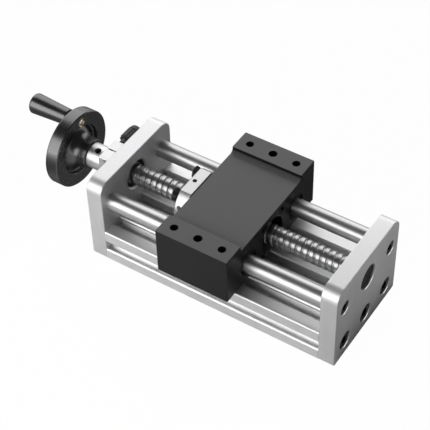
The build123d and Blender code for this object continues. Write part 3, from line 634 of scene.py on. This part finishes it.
# Ball screw: one pitch of its raceway is drawn, screwed along the shaft and cut to length
ballScrew = {
    "pitch": 5.0 * mm,
    "threadRadius": 7.75 * mm,
    "raceWidth": 2.3 * mm,
    "raceDepth": 1.1 * mm,
    "raceOffset": 0.15 * mm,    # makes the arch pointed
    "raceSteps": 12,
    "turnSteps": 56,
    "turnsAhead": 1.5,          # drawn before the thread's start, to be cut off
    "turnsSpare": 3,            # all that are drawn besides the thread's own
    "weld": 0.004 * mm,
    "farGap": 0.3 * mm,         # from the thread to the far bearing
    "seatRadius": 6.0 * mm,
    "seatSetback": 0.2 * mm,    # of the seat's end within the bearing's inner ring
    "journalRadius": 5.0 * mm,
    "journalSides": 64,
    "bite": 1.0 * mm,           # of each journal into the thread
    "edge": 0.5 * mm,
}


def raceHeight(fromMiddle):
    # depth of the pointed arch at a distance from its middle
    reach = ballScrew["raceWidth"] / 2 + ballScrew["raceOffset"]
    here = math.sqrt(max(0.0, 1 - ((abs(fromMiddle) + ballScrew["raceOffset"]) / reach) ** 2))
    deepest = math.sqrt(1 - (ballScrew["raceOffset"] / reach) ** 2)
    return -ballScrew["raceDepth"] * here / deepest


def makeBallScrew():
    shaftLow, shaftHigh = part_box("ball_screw")
    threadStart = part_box("drive_bearing_outer")[1].x
    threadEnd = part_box("far_bearing_outer")[0].x - ballScrew["farGap"]
    pitch, radius = ballScrew["pitch"], ballScrew["threadRadius"]
    half = ballScrew["raceWidth"] / 2
    start = threadStart - ballScrew["turnsAhead"] * pitch
    drawn = [(start, radius), (start + pitch / 2 - half, radius)]
    for step in range(1, ballScrew["raceSteps"] + 1):
        # closer steps near the crests, where the arch turns
        fromMiddle = -half * math.cos(math.pi * step / ballScrew["raceSteps"])
        drawn.append((start + pitch / 2 + fromMiddle, radius + raceHeight(fromMiddle)))
    drawn.append((start + pitch, radius))
    screw = drawSection("ballScrew", screwAxis, drawn)
    applyModifier(
        screw, "SCREW", axis="X", angle=math.tau, screw_offset=pitch,
        iterations=math.ceil((threadEnd - threadStart) / pitch) + ballScrew["turnsSpare"],
        steps=ballScrew["turnSteps"], render_steps=ballScrew["turnSteps"],
        use_merge_vertices=True, merge_threshold=ballScrew["weld"],
    )
    applyPlace(screw)
    for cutPlace, outwards in ((threadStart, -1), (threadEnd, 1)):
        openMesh(screw, "VERT", "SELECT")
        bpy.ops.mesh.bisect(
            plane_co=(cutPlace, 0, 0), plane_no=(outwards, 0, 0), use_fill=True, clear_outer=True
        )
    cleanShell(screw)

    # the turned ends: bearing seat and journal towards the wheel, journal at the far side
    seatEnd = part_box("drive_bearing_inner")[0].x + ballScrew["seatSetback"]
    seat, journal, bite = ballScrew["seatRadius"], ballScrew["journalRadius"], ballScrew["bite"]
    driveShaft = turnedShaft("driveShaft", threadStart + bite, -1, [(seat, seatEnd), (journal, shaftLow.x)])
    farShaft = turnedShaft("farShaft", threadEnd - bite, 1, [(journal, shaftHigh.x)])
    cutWith(screw, driveShaft, "UNION")
    cutWith(screw, farShaft, "UNION")
    cleanShell(screw)
    return screw


def turnedShaft(name, startX, outwards, steps):
    # a cylinder whose end face is inset and drawn out for every further step
    radius, reach = steps[0]
    shaft = addBar(
        name, ballScrew["journalSides"], radius, (reach + startX) / 2, abs(reach - startX), axisHeight
    )
    for nextRadius, nextReach in steps[1:]:
        selectFaces(
            shaft, lambda centre, normal: normal.x * outwards > straight and abs(centre.x - reach) < touch
        )
        bpy.ops.mesh.inset(thickness=radius - nextRadius)
        bpy.ops.mesh.extrude_region_move(TRANSFORM_OT_translate={"value": (nextReach - reach, 0, 0)})
        radius, reach = nextRadius, nextReach
    breakEdges(shaft, bothAt(reach), ballScrew["edge"])
    return shaft


dress(makeBallScrew(), finishes["screw"], "screw", ["ball_screw"])

# Cap screws: one is modelled for each size, with a knurled head and a hexagon socket
capScrews = {
    "headGrowth": 1.5,          # a head's diameter is this times the thread's, plus the next
    "headExtra": 1.0 * mm,
    "knurls": 30,
    "knurlDepth": 0.12 * mm,
    "knurlGap": 0.1,            # share of a knurl's width between two of them
    "edgeProfile": 0.6,
    "headEdge": 0.07,           # by the thread's diameter, as are the next three
    "shankEdge": 0.1,
    "socketDepth": 0.55,
    "socketAcross": 0.42,       # half its width between two flats
    "coneInset": 0.45,          # of the drilled cone below the socket, by the socket's radius
    "coneDepth": 0.25,
    "firstTwist": 17,           # degrees, so that no two screws stop alike
    "nextTwist": 41,
    "shadeAngle": 40,
    "groups": {  # the node, its thread, how deep its heads sit, where they look, their spots within its box
        "drive_profile_screws": (8.0 * mm, 0.3 * mm, -1, [(-1, 0), (0, 0), (1, 0)]),
        "far_profile_screws": (8.0 * mm, 0.3 * mm, 1, [(-1, 0), (0, 0), (1, 0)]),
        "drive_rod_screws": (6.0 * mm, 0.3 * mm, -1, [(-1, 0), (1, 0)]),
        "far_rod_screws": (6.0 * mm, 0.3 * mm, 1, [(-1, 0), (1, 0)]),
        "nut_screws": (5.0 * mm, 0.0, -1, [(-1, -1), (-1, 1), (1, -1), (1, 1)]),
        "lock_block_screws": (4.0 * mm, 0.0, -1, [(-1, 0), (1, 0)]),
        "wheel_screw": (6.0 * mm, 0.0, -1, [(0, 0)]),
    },
}


def headRadiusOf(thread):
    return (capScrews["headGrowth"] * thread + capScrews["headExtra"]) / 2


def makeCapScrew(name, thread, sink, length):
    # along X, the underside of the head one thread below the origin and the shank towards -X
    headRadius = headRadiusOf(thread)
    edge = capScrews["shankEdge"] * thread
    screw = addBar(name, 2 * capScrews["knurls"], headRadius, -(thread + sink) / 2, thread - sink)
    selectFaces(screw, lambda centre, normal: normal.x < -straight)
    bpy.ops.mesh.inset(thickness=headRadius - thread / 2)
    bpy.ops.mesh.extrude_region_move(TRANSFORM_OT_translate={"value": (-length, 0, 0)})
    bpy.ops.mesh.inset(thickness=edge)
    bpy.ops.transform.translate(value=(-edge, 0, 0))

    # every second face round the head sinks a little
    step = math.pi / capScrews["knurls"]

    def isGroove(centre, normal):
        onHead = centre.x > -thread and math.hypot(centre.y, centre.z) > (headRadius + thread / 2) / 2
        sideways = abs(normal.x) < 1 - straight
        place = (math.atan2(centre.z, centre.y) + math.tau) / step - 0.5
        return onHead and sideways and round(place) % 2 == 0

    selectFaces(screw, isGroove)
    gap = capScrews["knurlGap"] * headRadius * step
    bpy.ops.mesh.inset(thickness=gap, depth=-capScrews["knurlDepth"], use_individual=True)
    breakEdges(screw, bothAt(-sink), capScrews["headEdge"] * thread, profile=capScrews["edgeProfile"])

    # the socket
    across = capScrews["socketAcross"] * thread / math.cos(math.pi / 6)
    socket = addBar(name + "Socket", 6, across, -sink, 2 * capScrews["socketDepth"] * thread)
    selectFaces(socket, lambda centre, normal: normal.x < -straight)
    bpy.ops.mesh.inset(thickness=capScrews["coneInset"] * across)
    bpy.ops.transform.translate(value=(-capScrews["coneDepth"] * across, 0, 0))
    bpy.ops.object.mode_set(mode="OBJECT")
    cutWith(screw, socket)
    cleanShell(screw, capScrews["shadeAngle"])
    return screw


def placeCapScrews(nodeName, thread, sink, side, spots):
    low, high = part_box(nodeName)
    middle = (low + high) / 2
    reach = (high - low) / 2
    places = []
    for across, up in spots:
        spot = Vector((high.x if side > 0 else low.x, middle.y, middle.z))
        spot.y += across * (reach.y - headRadiusOf(thread))
        spot.z += up * (reach.z - headRadiusOf(thread))
        turn = Matrix.Identity(4) if side > 0 else Matrix.Rotation(math.pi, 4, "Z")
        degrees = capScrews["firstTwist"] + capScrews["nextTwist"] * len(places)
        places.append(Matrix.Translation(spot) @ turn @ Matrix.Rotation(math.radians(degrees), 4, "X"))
    first, *others = nodeName.split("_")
    name = first + "".join(part.capitalize() for part in others)
    group = placeCopies(makeCapScrew(name, thread, sink, 2 * reach.x - thread), name, places)
    cleanShell(group, capScrews["shadeAngle"])
    dress(group, finishes["blackScrew"], bodyOf(nodeName), [nodeName])


for nodeName, group in capScrews["groups"].items():
    placeCapScrews(nodeName, *group)
print("cap screws placed:", len(capScrews["groups"]), "groups")

# Seals in the ends of the four bushings
bushingSeals = {
    "depth": 0.6 * mm,          # of its back within the bushing
    "sink": 0.05 * mm,          # of its front below the bushing's end
    "shellWall": 0.85 * mm,
    "rodGap": 0.08 * mm,
    "lipWidth": 1.1 * mm,
    "lipRise": 0.35 * mm,
    "lipFoot": 0.5 * mm,
    "lipSlope": 0.3 * mm,       # towards the rod
    "steps": 48,
}


def makeBushingSeals():
    seals = []
    for nodeName in (
        "front_bushing_drive_side", "front_bushing_far_side",
        "rear_bushing_drive_side", "rear_bushing_far_side",
    ):
        low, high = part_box(nodeName)
        outer = (high.z - low.z) / 2 - bushingSeals["shellWall"]
        inner = (frontRodHigh.z - frontRodLow.z) / 2 + bushingSeals["rodGap"]
        lip = inner + bushingSeals["lipWidth"]
        for place, outwards in ((low.x, -1), (high.x, 1)):
            back = place - outwards * bushingSeals["depth"]
            front = place - outwards * bushingSeals["sink"]
            crest = front + outwards * bushingSeals["lipRise"]
            section = [
                (back, outer), (front, outer), (front, lip + bushingSeals["lipFoot"]), (crest, lip),
                (crest, inner + bushingSeals["lipSlope"]), (front, inner), (back, inner),
            ]
            seals.append(turnSection("seal", middleOf(low, high), section, bushingSeals["steps"]))
    group = joinPieces(seals, "bushingSeals")
    cleanShell(group)
    return group


dress(makeBushingSeals(), finishes["seal"], "carriage")
print("bushing seals made")

dustCap = {
    "rimWidth": 1.0 * mm,
    "rimRise": 0.5 * mm,
    "rimEdge": 0.25 * mm,
    "backEdge": 0.3 * mm,
    "slope": 0.7 * mm,
    "dish": 0.25 * mm,
    "dishMouth": 0.35,          # share of the cap's radius, as is the next
    "dishFloor": 0.3,
}


def makeDustCap():
    low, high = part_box("dust_cap")
    outer = (high.z - low.z) / 2
    rimFoot = outer - dustCap["rimWidth"]
    rimEdge, backEdge = dustCap["rimEdge"], dustCap["backEdge"]
    face = high.x - dustCap["rimRise"]
    floor = face - dustCap["dish"]
    section = [
        (low.x, 0.0), (low.x, outer - backEdge), (low.x + backEdge, outer), (high.x - rimEdge, outer),
        (high.x, outer - rimEdge), (high.x, rimFoot), (face, rimFoot - dustCap["slope"]),
        (face, dustCap["dishMouth"] * outer), (floor, dustCap["dishFloor"] * outer), (floor, 0.0),
    ]
    return turnSection("dustCap", middleOf(low, high), section)


dress(makeDustCap(), finishes["seal"], "base", ["dust_cap"])
print("dust cap made")

# Far end plate: a rounded slab, bored with turned cutters so that each hole has its broken edge
farPlate = {
    "cornerRadius": 10.0 * mm,
    "cornerSteps": 18,
    "footRadius": 2.0 * mm,
    "footSteps": 6,
    "edge": 0.5 * mm,
    "holeEdge": (0.6 * mm, 0.45 * mm),                  # wider than deep
    "profilePocket": (7.0 * mm, 8.5 * mm, 4.4 * mm),    # radius, depth and radius of the clearance
    "rodPocket": (5.5 * mm, 6.5 * mm, 3.3 * mm),
    "rodSeat": (7.1 * mm, 3.0 * mm),
    "capBore": (10.0 * mm, 3.5 * mm, 8.0 * mm),
    "bearingGap": 0.03 * mm,
    "clear": 1.0 * mm,                                  # of each cutter past the faces
    "shadeAngle": 20,
    "holesAcross": 44.0 * mm,                           # all holes lie within these
    "holesAbove": 2.0 * mm,
    "holesOverAxis": 20.0 * mm,
    "cutSlant": (0.6, 0.97),                            # how far the broken edges face along X
}


def makeFarPlate():
    low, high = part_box("far_end_plate")
    startFresh()
    bpy.ops.mesh.primitive_cube_add(size=1, location=(low + high) / 2, scale=high - low)
    plate = nameNew("farPlate")
    applyPlace(plate)
    for radius, height, segments in (
        (farPlate["cornerRadius"], high.z, farPlate["cornerSteps"]),
        (farPlate["footRadius"], low.z, farPlate["footSteps"]),
    ):
        breakEdges(
            plate,
            lambda a, b: abs(a.z - height) + abs(b.z - height) + abs(a.y - b.y) < touch,
            radius, segments,
        )
    for face in (low.x, high.x):
        breakEdges(plate, bothAt(face), farPlate["edge"])

    # each bore as steps of (radius, how far it reaches), from the outer face inwards
    clear = farPlate["clear"]
    edgeWidth, edgeDepth = farPlate["holeEdge"]
    profileLow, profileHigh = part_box("far_profile_screws")
    bearingLow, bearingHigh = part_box("far_bearing_outer")
    pocket, depth, through = farPlate["profilePocket"]
    reach = (profileHigh.y - profileLow.y - profileHigh.z + profileLow.z) / 2
    height = (profileLow.z + profileHigh.z) / 2
    steps = [(pocket, high.x - depth), (through, low.x - clear)]
    bores = [((0, side * reach, height), steps) for side in (-1, 0, 1)]
    pocket, depth, through = farPlate["rodPocket"]
    seat, seatDepth = farPlate["rodSeat"]
    steps = [(pocket, high.x - depth), (through, low.x + seatDepth), (seat, low.x - clear)]
    bores += [(frontRodAxis, steps), (rearRodAxis, steps)]
    pocket, depth, through = farPlate["capBore"]
    bearing = (bearingHigh.z - bearingLow.z) / 2 + farPlate["bearingGap"]
    steps = [(pocket, high.x - depth), (through, bearingHigh.x), (bearing, low.x - clear)]
    bores.append((screwAxis, steps))
    for centre, steps in bores:
        mouth = steps[0][0]
        flare = mouth + edgeWidth * (1 + clear / edgeDepth)
        start = high.x - edgeDepth
        section = [(high.x + clear, 0.0), (high.x + clear, flare), (start, mouth)]
        for radius, end in steps:
            if radius != mouth:
                section.append((start, radius))
            section.append((end, radius))
            start = end
        section.append((start, 0.0))
        cutWith(plate, turnSection("bore", centre, section))
    cleanShell(plate, farPlate["shadeAngle"])
    return plate


farPlatePiece = makeFarPlate()
dress(farPlatePiece, finishes["plate"], bodyOf("far_end_plate"), ["far_end_plate"])
farPlatePiece.data.materials.append(finishes["cut"])
slantLow, slantHigh = farPlate["cutSlant"]
for face in farPlatePiece.data.polygons:
    aroundHole = (
        abs(face.center.y) < farPlate["holesAcross"]
        and farPlate["holesAbove"] < face.center.z < axisHeight + farPlate["holesOverAxis"]
    )
    face.material_index = 1 if aroundHole and slantLow < face.normal.x < slantHigh else 0
print("far plate bored")

crankGrip = {
    "radii": (6.6 * mm, 7.4 * mm, 8.3 * mm),    # towards the wheel, in the middle and at the free end
    "wheelEdge": 0.4 * mm,
    "endRound": 2.4 * mm,
    "bore": 3.15 * mm,
    "recess": (4.5 * mm, 4.0 * mm),             # radius and depth, for the spindle's head
    "curveSteps": 14,
    "roundSteps": 6,
    "turnSteps": 72,
}


def makeCrankGrip():
    start, end = gripHigh.x, gripLow.x
    bore, wheelEdge, endRound = crankGrip["bore"], crankGrip["wheelEdge"], crankGrip["endRound"]
    length = start - end - endRound
    small, middle, large = crankGrip["radii"]
    rise, bend = 4 * middle - 3 * small - large, 2 * (small + large - 2 * middle)
    section = [(start, bore), (start, small - wheelEdge)]
    for step in range(crankGrip["curveSteps"] + 1):
        # a parabola through the three radii
        along = step / crankGrip["curveSteps"]
        radius = small + rise * along + bend * along ** 2
        section.append((start - wheelEdge - (length - wheelEdge) * along, radius))
    for step in range(1, crankGrip["roundSteps"] + 1):
        turn = math.pi / 2 * step / crankGrip["roundSteps"]
        section.append((start - length - endRound * math.sin(turn), large - endRound * (1 - math.cos(turn))))
    recessRadius, recessDepth = crankGrip["recess"]
    section += [(end, recessRadius), (end + recessDepth, recessRadius), (end + recessDepth, bore)]
    return turnSection("crankGrip", gripAxis, section, crankGrip["turnSteps"])


dress(makeCrankGrip(), finishes["grip"], bodyOf("handle_grip"), ["handle_grip"])
print("crank grip made")

gripInsert = {
    "bore": 2.55 * mm,
    "lip": 0.45 * mm,                   # of its rounded outer face
    "lipBend": 0.3,                     # shares of the lip where its two slopes meet and end
    "lipEnd": 0.8,
    "funnel": (3.15 * mm, 0.5 * mm),    # radius and depth of the countersink
}
spindleEnd = {  # the riveted end that shows in the insert
    "radius": 2.35 * mm,
    "slope": 38,                        # degrees at its foot
    "sink": 0.12 * mm,
    "steps": 6,
    "turnSteps": 48,
}


def makeGripInsert():
    low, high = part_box("handle_insert")
    outer = (high.z - low.z) / 2
    lip, bore = gripInsert["lip"], gripInsert["bore"]
    bend = gripInsert["lipBend"] * lip
    funnelRadius, funnelDepth = gripInsert["funnel"]
    section = [
        (low.x, bore), (low.x, outer), (high.x - lip, outer), (high.x - bend, outer - bend),
        (high.x, outer - gripInsert["lipEnd"] * lip), (high.x, funnelRadius), (high.x - funnelDepth, bore),
    ]
    return turnSection("gripInsert", gripAxis, section)


def makeSpindleEnd():
    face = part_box("handle_spindle")[1].x
    slope = math.radians(spindleEnd["slope"])
    ball = spindleEnd["radius"] / math.sin(slope)
    section = [(face - spindleEnd["sink"], 0.0), (face - spindleEnd["sink"], spindleEnd["radius"])]
    for step in range(spindleEnd["steps"] + 1):
        turn = slope * (1 - step / spindleEnd["steps"])
        section.append((face + ball * (math.cos(turn) - math.cos(slope)), ball * math.sin(turn)))
    return turnSection("spindleEnd", gripAxis, section, spindleEnd["turnSteps"])


dress(makeGripInsert(), finishes["brass"], bodyOf("handle_insert"), ["handle_insert"])
dress(makeSpindleEnd(), finishes["cut"], bodyOf("handle_spindle"))
print("grip insert and spindle end made")

# The studio: camera, two softboxes, walls that metal mirrors, and a white floor
photoView = {
    "azimuth": 34.12,           # round the vertical, 0 looks along +Y
    "elevation": 45.78,
    "roll": -1.72,
    "distance": 1.0518,
    "aim": (-0.03179, 0.01375, 0.02876),
    "lens": 116.42,
    "sensor": 36.0,
    "clip": (0.01, 50.0),
}


def makeCamera():
    turn, rise = math.radians(photoView["azimuth"]), math.radians(photoView["elevation"])
    back = Vector((math.sin(turn) * math.cos(rise), -math.cos(turn) * math.cos(rise), math.sin(rise)))
    camera = bpy.data.objects.new("photoCamera", bpy.data.cameras.new("photoCamera"))
    bpy.context.scene.collection.objects.link(camera)
    camera.data.lens = photoView["lens"]
    camera.data.sensor_width = photoView["sensor"]
    camera.data.clip_start, camera.data.clip_end = photoView["clip"]
    camera.location = Vector(photoView["aim"]) + back * photoView["distance"]
    roll = Quaternion((0, 0, 1), math.radians(photoView["roll"]))
    camera.rotation_mode = "QUATERNION"
    camera.rotation_quaternion = (-back).to_track_quat("-Z", "Y") @ roll
    bpy.context.scene.camera = camera


studioLights = {  # place, what it is aimed at, size, brightness of its face
    "rearSoftbox": {"place": (-0.75, 1.07, 0.93), "aim": (0, 0, 0.04), "size": (2.3, 1.35), "level": 1.6},
    "frontSoftbox": {"place": (-0.59, -1.26, 0.62), "aim": (0, 0, 0.04), "size": (1.9, 1.05), "level": 2.45},
}


def makeLights():
    for name, light in studioLights.items():
        data = bpy.data.lights.new(name, "AREA")
        data.shape = "RECTANGLE"
        data.size, data.size_y = light["size"]
        data.energy = light["level"] * math.pi * data.size * data.size_y  # watts for that brightness
        lamp = bpy.data.objects.new(name, data)
        bpy.context.scene.collection.objects.link(lamp)
        lamp.location = light["place"]
        lamp.rotation_mode = "QUATERNION"
        lamp.rotation_quaternion = (Vector(light["aim"]) - Vector(light["place"])).to_track_quat("-Z", "Y")


backdrop = {
    "ambient": 0.19,            # what the walls give to shaded sides
    "ceiling": 0.05,            # what metal sees overhead
    "wallTop": (0.09, 0.22),    # the white wall fades out between these heights of the sky
    "floorRadius": 6.0,
    "floorSides": 96,
    "floorColour": 0.27,
    "sheetColour": 0.95,        # of a pale sheet that lies before the object
    "sheetEdges": {"front": (-0.03, -0.05), "left": (-0.19, -0.155), "right": (0.125, 0.10)},
    "farColour": 0.50,          # of the floor beyond the far plate
    "farEdge": (0.106, 0.116),
    "floorLift": 0.985,         # share of plain white that the camera sees near the object
    "whiteEdge": (0.25, 0.75),  # between these distances the floor fades into the white background
}


def makeWorld():
    world = bpy.data.worlds.new("studioWorld")
    bpy.context.scene.world = world
    world.use_nodes = True
    tree = world.node_tree
    shader = tree.nodes["Background"]
    shader.inputs["Color"].default_value = (1, 1, 1, 1)
    rays = addNode(tree, "LightPath")
    place = addNode(tree, "TexCoord")
    parts = addNode(tree, "SeparateXYZ")
    wall = addFade(
        tree, *backdrop["wallTop"], {"To Min": 1.0, "To Max": backdrop["ceiling"]},
        interpolation_type="SMOOTHSTEP",
    )
    mirrored = addMath(tree, "MAXIMUM")
    metal = addNode(tree, "Mix", {2: backdrop["ambient"]}, data_type="FLOAT")
    shown = addNode(tree, "Mix", {3: 1.0}, data_type="FLOAT")
    wire(
        tree,
        (place, "Generated", parts, "Vector"),
        (parts, "Z", wall, "Value"),
        (rays, "Is Glossy Ray", mirrored, 0),
        (rays, "Is Transmission Ray", mirrored, 1),
        (mirrored, "Value", metal, 0),
        (wall, "Result", metal, 3),
        (rays, "Is Camera Ray", shown, 0),
        (metal, 0, shown, 2),
        (shown, 0, shader, "Strength"),
    )


def makeFloor():
    startFresh()
    bpy.ops.mesh.primitive_circle_add(
        vertices=backdrop["floorSides"], radius=backdrop["floorRadius"], fill_type="NGON", location=(0, 0, 0)
    )
    floor = nameNew("floor")
    material = bpy.data.materials.new("floorWhite")
    material.use_nodes = True
    tree = material.node_tree
    tree.nodes.clear()
    output = addNode(tree, "OutputMaterial")
    paper = addNode(tree, "BsdfDiffuse")
    white = addNode(tree, "Emission", {"Color": (1, 1, 1, 1), "Strength": 1.0})
    mixed = addNode(tree, "MixShader")
    rays = addNode(tree, "LightPath")
    place = addNode(tree, "TexCoord")
    parts = addNode(tree, "SeparateXYZ")
    distance = addNode(tree, "VectorMath", operation="LENGTH")
    fade = addFade(tree, *backdrop["whiteEdge"], interpolation_type="SMOOTHSTEP")
    beyond = addFade(
        tree, *backdrop["farEdge"], {"To Min": backdrop["floorColour"], "To Max": backdrop["farColour"]}
    )
    shade = addNode(tree, "MapRange", {"To Max": backdrop["sheetColour"]})
    lift = addNode(tree, "MapRange", {"To Max": backdrop["floorLift"]})
    atLeast = addMath(tree, "MAXIMUM")
    seen = addMath(tree, "MAXIMUM")
    shown = addMath(tree, "MAXIMUM")
    share = addMath(tree, "MULTIPLY")

    # the sheet lies within its three edges
    front, left, right = (addFade(tree, *edge) for edge in backdrop["sheetEdges"].values())
    sides = addMath(tree, "MULTIPLY")
    onSheet = addMath(tree, "MULTIPLY")
    wire(
        tree,
        (parts, "Y", front, "Value"),
        (parts, "X", left, "Value"),
        (parts, "X", right, "Value"),
        (front, "Result", sides, 0),
        (left, "Result", sides, 1),
        (sides, "Value", onSheet, 0),
        (right, "Result", onSheet, 1),
        (onSheet, "Value", shade, "Value"),
        (place, "Object", parts, "Vector"),
        (parts, "X", beyond, "Value"),
        (beyond, "Result", shade, "To Min"),
        (shade, "Result", paper, "Color"),
        (place, "Object", distance, 0),
        (distance, "Value", fade, "Value"),
        (rays, "Is Camera Ray", lift, "Value"),
        (fade, "Result", atLeast, 0),
        (lift, "Result", atLeast, 1),
        (rays, "Is Camera Ray", seen, 0),
        (rays, "Is Glossy Ray", seen, 1),
        (seen, "Value", shown, 0),
        (rays, "Is Transmission Ray", shown, 1),
        (atLeast, "Value", share, 0),
        (shown, "Value", share, 1),
        (share, "Value", mixed, "Fac"),
        (paper, "BSDF", mixed, 1),
        (white, "Emission", mixed, 2),
        (mixed, "Shader", output, "Surface"),
    )
    floor.data.materials.append(material)


makeCamera()
makeLights()
makeWorld()
makeFloor()
bpy.context.scene.view_settings.view_transform = "Standard"
print("studio ready")
